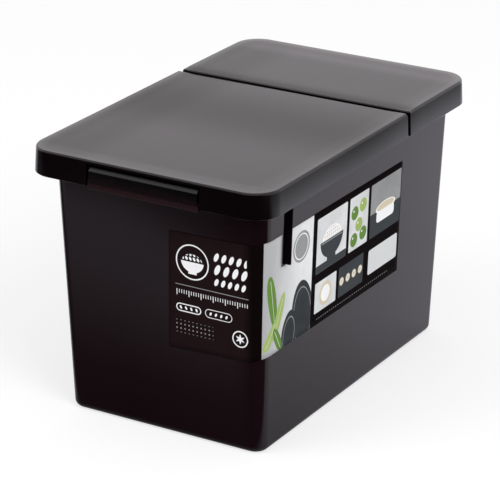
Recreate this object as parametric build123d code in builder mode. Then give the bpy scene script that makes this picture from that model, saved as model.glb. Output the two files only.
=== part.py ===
from build123d import *
import os
from math import radians, tan

# Rice storage bin: a drafted bin under an overhanging two-part lid. The front part of the lid
# hinges on the rear part, a latch hangs in its front skirt, two soft seals lie on the rim,
# a printed sleeve wraps one corner and a measuring cup stands loose inside.
# X runs across, the latch side faces -Y and Z is up from the surface the bin stands on.
# Lengths are millimetres and angles are degrees.

# Lid: overall plan at its top, height above the floor, and the moulding's own sizes.
LID_WIDTH = 200.0
LID_LENGTH = 315.9
LID_TOP = 210.5
LID_CORNER = 20.5
LID_PLATE = 2.4
LID_EDGE_ROUND = 1.8
SKIRT_DEPTH = 19.5
SKIRT_WALL = 2.2
SKIRT_FLARE = 0.8
SKIRT_CHAMFER = 0.4
DISH_BORDER = 4.0
DISH_SLOPE = 8.0
DISH_DEPTH = 0.7

# Bin: how far the lid stands out over its walls at the rim, and the drafts of its walls.
SIDE_OVERHANG = 10.8
FRONT_OVERHANG = 17.54
REAR_OVERHANG = 10.14
BIN_CORNER = 10.6
BASE_ROUND = 4.9
SIDE_DRAFT = 1.79
END_DRAFT = 2.08
BIN_WALL = 2.2
BIN_FLOOR = 3.0
FOOT_RIM = 6.0
FOOT_RECESS = 0.8
FOOT_CORNER = 5.0

# Rim: a flange with a turned-down lip, inside the lid's skirt.
RIM_DROP = 10.5
RIM_GAP = 1.0
FLANGE = 2.2
LIP_DEPTH = 6.5
LIP_WALL = 2.0

# Upright fins on both side walls, near the front, which keep nested bins apart.
FIN_SETBACK = 25.9
FIN_THICK = 1.8
FIN_STAND = 6.5
FIN_FOOT = 143.3
FIN_ROUND = 1.0

# Hinge: the lid's rear edge is a quarter round about the hinge axis.
HINGE_Y = 46.9
HINGE_DROP = 5.0
SEAM = 4.2
COVER_EDGE_ROUND = 2.0
PIN_RADIUS = 1.25
PIN_PLAY = 0.05
EAR_RADIUS = 2.2
EAR_WIDTH = 5.0
EAR_ARM = 1.1
EAR_INSET = 30.0
LUG_WIDTH = 4.7
SIDE_PLAY = 0.3

# Ledge and plug of the rear cover, inside the bin's mouth.
LEDGE_LENGTH = 25.1
LEDGE_PLATE = 2.2
PLUG_DEPTH = 10.0
PLUG_WALL = 1.8
PLUG_PLAY = 0.5
COVER_WALL = 2.2
SEAT_GAP = 0.3
BEAD_LENGTH = 24.0
BEAD_HEIGHT = 1.4
BEAD_FROM_REAR = (30.0, 76.0)
BEAD_REAR_X = 48.0

# Seals: soft strips held between ribs under the lid, over the rim and the ledge.
SEAL_OUT = 4.0
SEAL_WIDTH = 5.0
SEAL_PLAY = 0.15
SEAL_LIP_WIDTH = 2.6
SEAL_LIP_HEIGHT = 2.7
SEAL_TO_HINGE = 11.4
RIB_WALL = 1.4
RIB_LIFT = 2.0

# Latch: a plate with a slanted shoulder that hangs from two stub pins in the front notch.
LATCH_WIDTH = 90.2
NOTCH_GAP = 2.1
NOTCH_DROP = 2.9
LATCH_PLATE = 2.3
LATCH_INSET = 0.25
LATCH_OVERHANG = 2.5
LATCH_HEAD_DROP = 7.9
SHOULDER = 2.7
LATCH_AXIS_IN = 4.9
LATCH_AXIS_DROP = 6.5
BARREL_RADIUS = 2.0
LATCH_PIN_RADIUS = 1.2
LATCH_PIN_LENGTH = 4.6
LATCH_EAR = 3.0
LATCH_LIP_HEIGHT = 4.6
LATCH_LIP_SIDE = 0.9
LATCH_LIP_ROUND = 1.1
NUB_LENGTH = 14.0
NUB_HEIGHT = 2.2
NUB_X = 24.0

# Sleeve of printed card round the front and one side: heights of its edges at the left end
# on the front, at the start of the corner, at its end and at the rear end on the side.
SLEEVE_THICK = 0.4
SLEEVE_GAP = 0.1
SLEEVE_LEFT = (9.9, 7.3)
SLEEVE_REAR = 68.0
SLEEVE_TOP = (162.6, 164.0, 166.6, 164.9)
SLEEVE_BOTTOM = (70.8, 73.1, 77.1, 75.3)
SLEEVE_NOTCH_WIDTH = 6.0
SLEEVE_NOTCH_DROP = 1.8

# Measuring cup of 180 ml, with straight walls that step out at the half measure.
CUP_RADIUS = 32.5
CUP_HEIGHT = 64.0
CUP_WALL = 1.7
CUP_FLOOR = 2.0
CUP_RIM_WIDTH = 1.6
CUP_RIM_HEIGHT = 2.4
CUP_FOOT_WIDTH = 3.0
CUP_FOOT_RECESS = 0.8
CUP_STEP = 0.6
CUP_Y = -60.0

# Heights and places that follow from the sizes above.
RIM_TOP = LID_TOP - RIM_DROP
PLATE_UNDER = LID_TOP - LID_PLATE
SKIRT_BOTTOM = LID_TOP - SKIRT_DEPTH
LIP_BOTTOM = RIM_TOP - LIP_DEPTH
HINGE_Z = LID_TOP - HINGE_DROP
LID_REAR = HINGE_Y + HINGE_DROP
COVER_FRONT = LID_REAR + SEAM
LEDGE_FRONT = COVER_FRONT - LEDGE_LENGTH
EAR_X = LID_WIDTH / 2 - EAR_INSET
SKIRT_FRONT = -LID_LENGTH / 2 - SKIRT_FLARE
LATCH_FACE = SKIRT_FRONT + LATCH_INSET
LATCH_BACK = LATCH_FACE + LATCH_PLATE
LATCH_AXIS_Y = LATCH_FACE + LATCH_AXIS_IN
LATCH_AXIS_Z = LID_TOP - LATCH_AXIS_DROP
LATCH_BOTTOM = SKIRT_BOTTOM - LATCH_OVERHANG
NOTCH_WIDTH = LATCH_WIDTH + 2 * NOTCH_GAP
CHANNEL = SEAL_WIDTH / 2 + SEAL_PLAY
REACH = 2 * LID_LENGTH
MELD = 0.5


def bin_plan(height, grow=0.0):
    """Half width, front, rear and corner of the bin's outer plan at a height."""
    below = RIM_TOP - height
    half_width = LID_WIDTH / 2 - SIDE_OVERHANG - below * tan(radians(SIDE_DRAFT)) + grow
    drawn_in = below * tan(radians(END_DRAFT)) - grow
    front = FRONT_OVERHANG + drawn_in - LID_LENGTH / 2
    rear = LID_LENGTH / 2 - REAR_OVERHANG - drawn_in
    return half_width, front, rear, BIN_CORNER + grow


def lid_plan(height, grow=0.0):
    """The same for the lid, whose skirt flares evenly from its top to its bottom."""
    flare = SKIRT_FLARE * (LID_TOP - height) / SKIRT_DEPTH + grow
    half_length = LID_LENGTH / 2 + flare
    return LID_WIDTH / 2 + flare, -half_length, half_length, LID_CORNER + grow


def rim_plan(grow=0.0):
    """The same for the rim's flange, one gap inside the top of the skirt."""
    return lid_plan(LID_TOP, grow - SKIRT_WALL - RIM_GAP)


def mouth_plan(height, grow=0.0):
    """The same for the inside of the bin."""
    return bin_plan(height, grow - BIN_WALL)


def seal_plan(rear, grow):
    """The same for a seal's loop, drawn out from its centre line, up to a rear run."""
    half_width, front, _, corner = mouth_plan(RIM_TOP, SEAL_OUT + grow)
    return half_width, front, rear + grow, corner


FIN_FRONT = bin_plan(FIN_FOOT)[1] + FIN_SETBACK
LID_SEAL_REAR = HINGE_Y - SEAL_TO_HINGE
COVER_SEAL_REAR = mouth_plan(RIM_TOP, SEAL_OUT)[2]


def draw_plan(plan, mode=Mode.ADD):
    """Rounded rectangle in the current sketch."""
    half_width, front, rear, corner = plan
    with Locations((0, (front + rear) / 2)):
        RectangleRounded(2 * half_width, rear - front, corner, mode=mode)


def drafted_block(plan, low, high, grow=0.0):
    """Block between two heights with a plan's leaning walls, its upright edges rounded."""
    low_half, low_front, low_rear, corner = plan(low, grow)
    high_half, high_front, high_rear, _ = plan(high, grow)
    with BuildPart() as block:
        with BuildSketch(Plane.YZ):
            with BuildLine():
                Polyline(
                    (low_front, low), (high_front, high), (high_rear, high), (low_rear, low), close=True
                )
            make_face()
        extrude(amount=REACH, both=True)
        with BuildSketch(Plane.XZ):
            with BuildLine():
                Polyline(
                    (-low_half, low), (-high_half, high), (high_half, high), (low_half, low), close=True
                )
            make_face()
        extrude(amount=REACH, both=True, mode=Mode.INTERSECT)
        upright = block.edges().filter_by(lambda edge: edge.bounding_box().size.Z > (high - low) / 2)
        fillet(upright, radius=corner)
    return block.part


def cross_slab(front, rear, low=-REACH, high=REACH):
    """Block across the whole width, for keeping or removing what lies between two lines."""
    with BuildPart() as slab:
        with BuildSketch(Plane.XY.offset(low)):
            with Locations((0, (front + rear) / 2)):
                Rectangle(REACH, rear - front)
        extrude(amount=high - low)
    return slab.part


def rolled_block(front, rear, rolled, radius):
    """Block across the whole width up to the lid's top, with the upper edge at one end rolled."""
    with BuildPart() as block:
        with BuildSketch(Plane.YZ.offset(-REACH / 2)) as side_view:
            with Locations(((front + rear) / 2, LID_TOP)):
                Rectangle(rear - front, REACH, align=(Align.CENTER, Align.MAX))
            fillet(side_view.vertices().sort_by_distance((rolled, LID_TOP))[0], radius=radius)
        extrude(amount=REACH)
    return block.part


def lid_shell():
    """The whole lid as one moulding, a plate with a flared skirt, before it is parted."""
    with BuildPart() as shell:
        add(drafted_block(lid_plan, SKIRT_BOTTOM, LID_TOP))
        fillet(shell.edges().group_by(Axis.Z)[-1], radius=LID_EDGE_ROUND)
        chamfer(shell.edges().group_by(Axis.Z)[0], length=SKIRT_CHAMFER)
        add(drafted_block(lid_plan, SKIRT_BOTTOM, PLATE_UNDER, -SKIRT_WALL), mode=Mode.SUBTRACT)
    return shell.part


def dish(front, rear):
    """Shallow tray with long soft slopes, pressed into the top between two cross lines."""
    with BuildPart() as tray:
        for depth, inset in ((0.0, DISH_BORDER), (DISH_DEPTH, DISH_BORDER + DISH_SLOPE)):
            with BuildSketch(Plane.XY.offset(LID_TOP - depth)):
                draw_plan((LID_WIDTH / 2 - inset, front + inset, rear - inset, LID_CORNER - inset))
        loft(ruled=True)
    return tray.part


def seal_band(rear, inner, outer, low, high):
    """Upright band along a seal's loop, between two distances from its centre line."""
    with BuildPart() as band:
        with BuildSketch(Plane.XY.offset(low)):
            draw_plan(seal_plan(rear, outer))
            draw_plan(seal_plan(rear, inner), mode=Mode.SUBTRACT)
        extrude(amount=high - low)
    return band.part


def seal(rear):
    """Soft strip with a narrow lip that meets the rim."""
    with BuildPart() as strip:
        bottom = RIM_TOP + SEAT_GAP
        shoulder = bottom + SEAL_LIP_HEIGHT
        half = SEAL_WIDTH / 2
        half_lip = SEAL_LIP_WIDTH / 2
        add(seal_band(rear, -half, half, shoulder, PLATE_UNDER))
        add(seal_band(rear, -half_lip, half_lip, bottom, shoulder))
    return strip.part


# The bin: drafted walls, flange with its lip, fins, and a shallow recess under the floor.
with BuildPart() as bin_body:
    add(drafted_block(bin_plan, 0, RIM_TOP))
    fillet(bin_body.edges().group_by(Axis.Z)[0], radius=BASE_ROUND)
    with BuildSketch(Plane.XY.offset(RIM_TOP - FLANGE)):
        draw_plan(rim_plan())
    extrude(amount=FLANGE)
    with BuildSketch(Plane.XY.offset(LIP_BOTTOM)):
        draw_plan(rim_plan())
        draw_plan(rim_plan(-LIP_WALL), mode=Mode.SUBTRACT)
    extrude(amount=LIP_DEPTH)
    fin_top = RIM_TOP - FLANGE / 2
    foot_x = bin_plan(FIN_FOOT)[0]
    top_x = bin_plan(fin_top)[0]
    for side in (-1, 1):
        with BuildSketch(Plane.XZ.offset(-FIN_FRONT - FIN_THICK)) as fin:
            with BuildLine():
                Polyline(
                    (side * (foot_x - BIN_WALL / 2), FIN_FOOT),
                    (side * (foot_x + FIN_STAND), FIN_FOOT + FIN_ROUND / 2),
                    (side * (top_x + FIN_STAND), fin_top),
                    (side * (top_x - BIN_WALL / 2), fin_top),
                    close=True,
                )
            make_face()
            fillet(fin.vertices().group_by(Axis.Y)[1], radius=FIN_ROUND)
        extrude(amount=FIN_THICK)
    add(drafted_block(mouth_plan, BIN_FLOOR, RIM_TOP), mode=Mode.SUBTRACT)
    floor_edges = bin_body.edges().filter_by_position(Axis.Z, BIN_FLOOR, BIN_FLOOR)
    chamfer(floor_edges, length=BASE_ROUND - BIN_WALL)
    half_width, front, rear, _ = bin_plan(0, -BASE_ROUND - FOOT_RIM)
    with BuildSketch():
        draw_plan((half_width, front, rear, FOOT_CORNER))
    extrude(amount=FOOT_RECESS, mode=Mode.SUBTRACT)

# The hinged front part of the lid: its rear edge rolls down about the hinge axis.
with BuildPart() as front_lid:
    add(lid_shell())
    add(rolled_block(-LID_LENGTH, LID_REAR, LID_REAR, HINGE_DROP), mode=Mode.INTERSECT)
    tail_half = LID_WIDTH / 2 - SKIRT_WALL / 2
    with BuildSketch(Plane.YZ.offset(-tail_half)):
        with Locations((HINGE_Y, HINGE_Z)):
            Circle(HINGE_DROP)
            Circle(HINGE_DROP - LID_PLATE, mode=Mode.SUBTRACT)
            Rectangle(HINGE_DROP, HINGE_DROP, align=(Align.MIN, Align.MIN), mode=Mode.INTERSECT)
    extrude(amount=2 * tail_half)
    add(dish(-LID_LENGTH / 2, HINGE_Y), mode=Mode.SUBTRACT)
    for near, far in ((-CHANNEL - RIB_WALL, -CHANNEL), (CHANNEL, CHANNEL + RIB_WALL)):
        add(seal_band(LID_SEAL_REAR, near, far, RIM_TOP + RIB_LIFT, PLATE_UNDER + MELD))
    # Lugs beside each ear of the cover, and the pin between them.
    lug_offset = (EAR_WIDTH + LUG_WIDTH) / 2 + SIDE_PLAY
    for ear_x in (-EAR_X, EAR_X):
        for lug_x in (ear_x - lug_offset, ear_x + lug_offset):
            with BuildSketch(Plane.YZ.offset(lug_x - LUG_WIDTH / 2)):
                with Locations((HINGE_Y, HINGE_Z)):
                    Circle(HINGE_DROP - LID_PLATE)
                    Rectangle(
                        HINGE_DROP - LID_PLATE,
                        HINGE_DROP - LID_PLATE + MELD,
                        align=(Align.MAX, Align.MIN),
                    )
            extrude(amount=LUG_WIDTH)
        with BuildSketch(Plane.YZ.offset(ear_x - lug_offset)):
            with Locations((HINGE_Y, HINGE_Z)):
                Circle(PIN_RADIUS)
        extrude(amount=2 * lug_offset)
    # Notch for the latch, and the two webs that carry its pins.
    notch_top = LID_TOP - NOTCH_DROP
    with BuildSketch(Plane.XZ.offset(LID_LENGTH / 2 - SKIRT_WALL - RIM_GAP)):
        with Locations((0, (notch_top + SKIRT_BOTTOM) / 2 - MELD)):
            Rectangle(NOTCH_WIDTH, notch_top - SKIRT_BOTTOM + 2 * MELD)
    extrude(amount=REACH, mode=Mode.SUBTRACT)
    web_front = -LID_LENGTH / 2 + SKIRT_WALL / 2
    web_half = HINGE_DROP - LID_PLATE
    for web_x in (-NOTCH_WIDTH / 2 - SIDE_PLAY - LATCH_EAR, NOTCH_WIDTH / 2 + SIDE_PLAY):
        with BuildSketch(Plane.YZ.offset(web_x)):
            with BuildLine():
                Polyline(
                    (web_front, PLATE_UNDER + MELD),
                    (web_front, LATCH_AXIS_Z - web_half),
                    (LATCH_AXIS_Y + web_half, LATCH_AXIS_Z - web_half),
                    (LATCH_AXIS_Y + web_half, PLATE_UNDER + MELD),
                    close=True,
                )
            make_face()
            with Locations((LATCH_AXIS_Y, LATCH_AXIS_Z)):
                Circle(LATCH_PIN_RADIUS + PIN_PLAY, mode=Mode.SUBTRACT)
        extrude(amount=LATCH_EAR)

# The rear part of the lid: skirt and plate behind the seam, a ledge in front of it inside the
# bin's mouth, a plug wall under both, and the hinge ears that stand on the ledge.
with BuildPart() as rear_cover:
    add(lid_shell())
    cover_block = rolled_block(COVER_FRONT, LID_LENGTH, COVER_FRONT, COVER_EDGE_ROUND)
    add(cover_block, mode=Mode.INTERSECT)
    add(dish(COVER_FRONT, LID_LENGTH / 2), mode=Mode.SUBTRACT)
    plug_bottom = RIM_TOP - PLUG_DEPTH
    half_width, _, plug_rear, plug_corner = mouth_plan(plug_bottom, -PLUG_PLAY)
    plug_outer = (half_width, LEDGE_FRONT, plug_rear, plug_corner)
    plug_inner = (
        half_width - PLUG_WALL,
        LEDGE_FRONT + PLUG_WALL,
        plug_rear - PLUG_WALL,
        plug_corner - PLUG_WALL,
    )
    with BuildSketch(Plane.XY.offset(plug_bottom)):
        draw_plan(plug_outer)
        draw_plan(plug_inner, mode=Mode.SUBTRACT)
    extrude(amount=PLUG_DEPTH)
    # Ledge plate in front of the cover's front wall.
    with BuildSketch(Plane.XY.offset(RIM_TOP - LEDGE_PLATE)):
        draw_plan(plug_outer)
        with Locations((0, COVER_FRONT + COVER_WALL)):
            Rectangle(REACH, REACH, align=(Align.CENTER, Align.MIN), mode=Mode.SUBTRACT)
    extrude(amount=LEDGE_PLATE)
    # Plug wall above the ledge, out to the seal's channel, then the channel's outer rib.
    with BuildPart(mode=Mode.PRIVATE) as upper_walls:
        with BuildSketch(Plane.XY.offset(RIM_TOP)):
            draw_plan(plug_outer)
            draw_plan(plug_inner, mode=Mode.SUBTRACT)
        extrude(amount=PLATE_UNDER + MELD - RIM_TOP)
        with BuildSketch(Plane.XY.offset(RIM_TOP + RIB_LIFT)):
            draw_plan(seal_plan(COVER_SEAL_REAR, -CHANNEL))
            draw_plan(plug_inner, mode=Mode.SUBTRACT)
        extrude(amount=PLATE_UNDER + MELD - RIM_TOP - RIB_LIFT)
        add(
            seal_band(
                COVER_SEAL_REAR,
                CHANNEL,
                CHANNEL + RIB_WALL,
                RIM_TOP + RIB_LIFT,
                PLATE_UNDER + MELD,
            )
        )
        add(cross_slab(COVER_FRONT + COVER_WALL / 2, REACH), mode=Mode.INTERSECT)
    add(upper_walls.part)
    # Front wall under the seam edge, down to the ledge and over the rim.
    wall_half = LID_WIDTH / 2 - SKIRT_WALL / 2
    with BuildSketch(Plane.XY.offset(RIM_TOP + SEAT_GAP)):
        with Locations((0, COVER_FRONT)):
            Rectangle(2 * wall_half, COVER_WALL, align=(Align.CENTER, Align.MIN))
    extrude(amount=PLATE_UNDER - RIM_TOP - SEAT_GAP)
    with BuildSketch(Plane.XY.offset(RIM_TOP - LEDGE_PLATE)):
        with Locations((0, COVER_FRONT)):
            Rectangle(2 * half_width - MELD, COVER_WALL, align=(Align.CENTER, Align.MIN))
    extrude(amount=LEDGE_PLATE + SEAT_GAP)
    # Ears with a slanted arm, which leaves room for the lid's rolled edge to turn.
    arm = EAR_ARM * 2**0.5
    foot_y = HINGE_Y - (HINGE_Z - RIM_TOP) - MELD
    for ear_x in (-EAR_X, EAR_X):
        with BuildSketch(Plane.YZ.offset(ear_x - EAR_WIDTH / 2)):
            with BuildLine():
                Polyline(
                    (HINGE_Y - arm / 2, HINGE_Z + arm / 2),
                    (HINGE_Y + arm / 2, HINGE_Z - arm / 2),
                    (foot_y + arm, RIM_TOP - MELD),
                    (foot_y - arm, RIM_TOP - MELD),
                    close=True,
                )
            make_face()
            with Locations((HINGE_Y, HINGE_Z)):
                Circle(EAR_RADIUS)
                Circle(PIN_RADIUS + PIN_PLAY, mode=Mode.SUBTRACT)
        extrude(amount=EAR_WIDTH)
    # Beads inside the skirt, just under the rim's lip.
    bead_side = rim_plan(SEAT_GAP)[0]
    bead_rear = rim_plan(SEAT_GAP)[2]
    skirt_middle = lid_plan(SKIRT_BOTTOM, -SKIRT_WALL / 2)
    with BuildSketch(Plane.XY.offset((SKIRT_BOTTOM + LIP_BOTTOM - BEAD_HEIGHT) / 2)):
        for from_rear in BEAD_FROM_REAR:
            bead_y = LID_LENGTH / 2 - from_rear
            for side in (-1, 1):
                with Locations((side * (bead_side + skirt_middle[0]) / 2, bead_y)):
                    Rectangle(skirt_middle[0] - bead_side, BEAD_LENGTH)
        for bead_x in (-BEAD_REAR_X, BEAD_REAR_X):
            with Locations((bead_x, (bead_rear + skirt_middle[2]) / 2)):
                Rectangle(BEAD_LENGTH, skirt_middle[2] - bead_rear)
    extrude(amount=BEAD_HEIGHT)

# The lid's seal is a closed loop, the cover's is open towards the seam.
lid_seal = seal(LID_SEAL_REAR)

with BuildPart() as cover_seal:
    add(seal(COVER_SEAL_REAR))
    add(cross_slab(COVER_FRONT + COVER_WALL + SEAL_PLAY, REACH), mode=Mode.INTERSECT)

# The latch: a plate with a slanted shoulder, a barrel behind it, end pins and a finger lip.
with BuildPart() as front_latch:
    head = LID_TOP - LATCH_HEAD_DROP
    with BuildSketch(Plane.YZ.offset(-LATCH_WIDTH / 2)):
        with BuildLine():
            Polyline(
                (LATCH_FACE, LATCH_BOTTOM + LATCH_LIP_HEIGHT),
                (LATCH_FACE, head),
                (LATCH_FACE + SHOULDER, head + SHOULDER),
                (LATCH_AXIS_Y, LATCH_AXIS_Z + BARREL_RADIUS),
                (LATCH_AXIS_Y, LATCH_AXIS_Z - BARREL_RADIUS),
                (LATCH_BACK, LATCH_AXIS_Z - BARREL_RADIUS - MELD),
                (LATCH_BACK, LATCH_BOTTOM + LATCH_LIP_HEIGHT),
                close=True,
            )
        make_face()
        with Locations((LATCH_AXIS_Y, LATCH_AXIS_Z)):
            Circle(BARREL_RADIUS)
    extrude(amount=LATCH_WIDTH)
    lip_half = LATCH_WIDTH / 2 + LATCH_LIP_SIDE
    with BuildSketch(Plane.YZ.offset(-lip_half)) as lip:
        with BuildLine():
            Polyline(
                (LATCH_FACE, LATCH_BOTTOM + LATCH_LIP_HEIGHT),
                (SKIRT_FRONT, LATCH_BOTTOM + LATCH_LIP_HEIGHT / 2),
                (SKIRT_FRONT, LATCH_BOTTOM),
                (LATCH_BACK, LATCH_BOTTOM),
                (LATCH_BACK, LATCH_BOTTOM + LATCH_LIP_HEIGHT),
                close=True,
            )
        make_face()
        fillet(lip.vertices().group_by(Axis.Y)[0], radius=LATCH_LIP_ROUND)
    extrude(amount=2 * lip_half)
    pin_half = LATCH_WIDTH / 2 + LATCH_PIN_LENGTH
    with BuildSketch(Plane.YZ.offset(-pin_half)):
        with Locations((LATCH_AXIS_Y, LATCH_AXIS_Z)):
            Circle(LATCH_PIN_RADIUS)
    extrude(amount=2 * pin_half)
    # Nubs that close under the rim's lip.
    nub_tip = rim_plan(SEAT_GAP)[1]
    with BuildSketch(Plane.XY.offset(LIP_BOTTOM - SEAT_GAP - NUB_HEIGHT)):
        with Locations((-NUB_X, nub_tip), (NUB_X, nub_tip)):
            Rectangle(NUB_LENGTH, nub_tip - LATCH_BACK + MELD, align=(Align.CENTER, Align.MAX))
    extrude(amount=NUB_HEIGHT)

# The sleeve: a card skin on the drafted walls, cut to its edges and round the fin.
with BuildPart() as label:
    add(drafted_block(bin_plan, 0, RIM_TOP, SLEEVE_GAP + SLEEVE_THICK))
    add(drafted_block(bin_plan, 0, RIM_TOP, SLEEVE_GAP), mode=Mode.SUBTRACT)
    edge_height = (SLEEVE_TOP[1] + SLEEVE_BOTTOM[1]) / 2
    half_width, front, _, corner = bin_plan(edge_height)
    corner_x = half_width - corner
    corner_y = front + corner
    side_x = half_width + FIN_STAND
    with BuildPart(mode=Mode.PRIVATE) as sleeve_window:
        with BuildSketch(Plane.XZ.offset(-corner_y)):
            with BuildLine():
                Polyline(
                    (SLEEVE_LEFT[0], SLEEVE_TOP[0]),
                    (corner_x, SLEEVE_TOP[1]),
                    (half_width, SLEEVE_TOP[2]),
                    (side_x, SLEEVE_TOP[2]),
                    (side_x, SLEEVE_BOTTOM[2]),
                    (half_width, SLEEVE_BOTTOM[2]),
                    (corner_x, SLEEVE_BOTTOM[1]),
                    (SLEEVE_LEFT[1], SLEEVE_BOTTOM[0]),
                    close=True,
                )
            make_face()
        extrude(amount=LID_LENGTH / 2)
        with BuildSketch(Plane.YZ.offset(corner_x)):
            with BuildLine():
                Polyline(
                    (corner_y - MELD, SLEEVE_TOP[2]),
                    (SLEEVE_REAR, SLEEVE_TOP[3]),
                    (SLEEVE_REAR, SLEEVE_BOTTOM[3]),
                    (corner_y - MELD, SLEEVE_BOTTOM[2]),
                    close=True,
                )
            make_face()
            with Locations((FIN_FRONT + FIN_THICK / 2, FIN_FOOT - SLEEVE_NOTCH_DROP)):
                Rectangle(
                    SLEEVE_NOTCH_WIDTH, REACH, align=(Align.CENTER, Align.MIN), mode=Mode.SUBTRACT
                )
        extrude(amount=side_x)
    add(sleeve_window.part, mode=Mode.INTERSECT)

# The measuring cup: a rolled rim, a foot ring, and an inside that widens at the half measure.
with BuildPart() as measuring_cup:
    half_measure = (CUP_FLOOR + CUP_HEIGHT) / 2
    inner_radius = CUP_RADIUS - CUP_WALL
    inside = [
        (0, CUP_FLOOR),
        (inner_radius - CUP_STEP, CUP_FLOOR),
        (inner_radius - CUP_STEP, half_measure),
        (inner_radius, half_measure),
        (inner_radius, CUP_HEIGHT),
    ]
    outside = [
        (CUP_RADIUS + CUP_RIM_WIDTH, CUP_HEIGHT),
        (CUP_RADIUS + CUP_RIM_WIDTH, CUP_HEIGHT - CUP_RIM_HEIGHT),
        (CUP_RADIUS, CUP_HEIGHT - CUP_RIM_HEIGHT),
        (CUP_RADIUS, 0),
        (CUP_RADIUS - CUP_FOOT_WIDTH, 0),
        (CUP_RADIUS - CUP_FOOT_WIDTH, CUP_FOOT_RECESS),
        (0, CUP_FOOT_RECESS),
    ]
    cup_plane = Plane((0, CUP_Y, BIN_FLOOR + SEAT_GAP), x_dir=(1, 0, 0), z_dir=(0, -1, 0))
    with BuildSketch(cup_plane):
        with BuildLine():
            Polyline(*inside, *outside, close=True)
        make_face()
    revolve(axis=Axis((0, CUP_Y, 0), (0, 0, 1)))

# Each piece is written under its own name.
nodes = {
    "bin_body": bin_body.part,
    "rear_cover": rear_cover.part,
    "rear_gasket": cover_seal.part,
    "front_lid": front_lid.part,
    "lid_gasket": lid_seal,
    "front_latch": front_latch.part,
    "measuring_cup": measuring_cup.part,
    "label": label.part,
}
os.makedirs("parts", exist_ok=True)
for name, piece in nodes.items():
    piece.label = name
    export_step(piece, f"parts/{name}.step")
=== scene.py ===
"""Rice storage bin: looks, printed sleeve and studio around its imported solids.

Lengths in the code are millimetres and become metres where a mesh is written.
X runs across, the latch side faces -Y and Z is up from the surface the bin stands on.
"""

from math import cos, pi, radians, sin, tan

import bmesh
import bpy
import numpy as np
from bpy.props import FloatProperty, FloatVectorProperty, PointerProperty
from bpy.types import Operator, Panel, PropertyGroup
from mathutils import Matrix, Vector


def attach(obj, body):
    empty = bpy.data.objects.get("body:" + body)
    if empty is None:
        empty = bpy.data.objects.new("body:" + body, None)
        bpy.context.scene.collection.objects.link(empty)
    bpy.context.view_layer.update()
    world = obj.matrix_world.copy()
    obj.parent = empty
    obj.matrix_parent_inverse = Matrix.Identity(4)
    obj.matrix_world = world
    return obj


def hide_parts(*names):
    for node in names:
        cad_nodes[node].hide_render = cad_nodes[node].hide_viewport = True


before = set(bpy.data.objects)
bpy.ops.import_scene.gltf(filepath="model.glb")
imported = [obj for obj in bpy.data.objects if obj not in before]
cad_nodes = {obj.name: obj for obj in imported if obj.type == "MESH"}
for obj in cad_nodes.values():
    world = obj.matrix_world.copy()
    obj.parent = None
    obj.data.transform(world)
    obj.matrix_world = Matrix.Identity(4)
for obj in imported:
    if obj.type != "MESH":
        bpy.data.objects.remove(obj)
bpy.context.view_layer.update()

bl_info = {
    "name": "Rice Storage Bin",
    "version": (1, 0, 0),
    "blender": (4, 5, 0),
    "location": "View3D > Sidebar > Rice Bin",
    "description": "Makes a lidded rice bin with its seals, cup, printed sleeve and studio",
    "category": "Object",
}

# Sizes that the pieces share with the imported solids. The bin's walls lean by their slopes.
MM = 0.001
LID_TOP = max(corner[2] for corner in cad_nodes["front_lid"].bound_box) / MM
RIM_TOP = LID_TOP - 10.5
LID_HALF_WIDTH = 100.0
LID_HALF_LENGTH = 157.95
LID_CORNER = 20.5
HINGE_Y = 46.9
SEAM_REAR = 56.1
BIN_CORNER = 10.6
BIN_WALL = 2.2
FIN_LOW = 143.3
FIN_BEHIND = 25.9
FIN_THICK = 1.8
SHARP = radians(35)
SIDE_SLOPE = tan(radians(1.79))
END_SLOPE = tan(radians(2.08))


# Sizes and colours that a user would change


def color_property(name, description, default):
    """Colour of a finish, each part from 0 to 1."""
    return FloatVectorProperty(
        name=name, description=description, default=default, min=0.0, max=1.0, subtype="COLOR"
    )


class ShellLooks(PropertyGroup):
    """Moulded parts: the soft tray in the lid's top and the colours of the plastic."""

    tray_border: FloatProperty(
        name="Tray border",
        description="Flat edge between the lid's outline and the tray, in millimetres",
        default=2.5,
        min=1.0,
        max=10.0,
    )
    tray_slope: FloatProperty(
        name="Tray slope",
        description="Width over which the tray's edge sinks, in millimetres",
        default=15.0,
        min=4.0,
        max=20.0,
    )
    tray_depth: FloatProperty(
        name="Tray depth",
        description="Depth of the tray's floor under the border, in millimetres",
        default=0.4,
        min=0.1,
        max=1.0,
    )
    seam_fall: FloatProperty(
        name="Fall at the seam",
        description="How far the cover's top falls towards the seam, in millimetres",
        default=0.55,
        min=0.0,
        max=0.6,
    )
    edge_softness: FloatProperty(
        name="Edge softness",
        description="Radius to which the light rounds sharp moulded edges",
        default=0.0004,
        min=0.0,
        max=0.001,
        subtype="DISTANCE",
        unit="LENGTH",
    )
    bin_color: color_property(
        "Bin colour", "Brown-black of the bin's plastic", (0.0082, 0.0032, 0.0046)
    )
    lid_color: color_property(
        "Lid colour", "Neutral near-black of the lid's plastic", (0.0028, 0.0013, 0.0018)
    )
    latch_color: color_property("Latch colour", "Near-black of the latch", (0.0058, 0.0021, 0.0027))


class InnerLooks(PropertyGroup):
    """Soft seals and the measuring cup."""

    seal_color: color_property("Seal colour", "Pale grey of the soft seals", (0.52, 0.52, 0.50))
    cup_color: color_property("Cup colour", "Milky white of the measuring cup", (0.74, 0.74, 0.71))
    cup_wall: FloatProperty(
        name="Cup wall",
        description="Wall of the measuring cup, in millimetres",
        default=1.7,
        min=1.0,
        max=3.0,
    )


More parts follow.
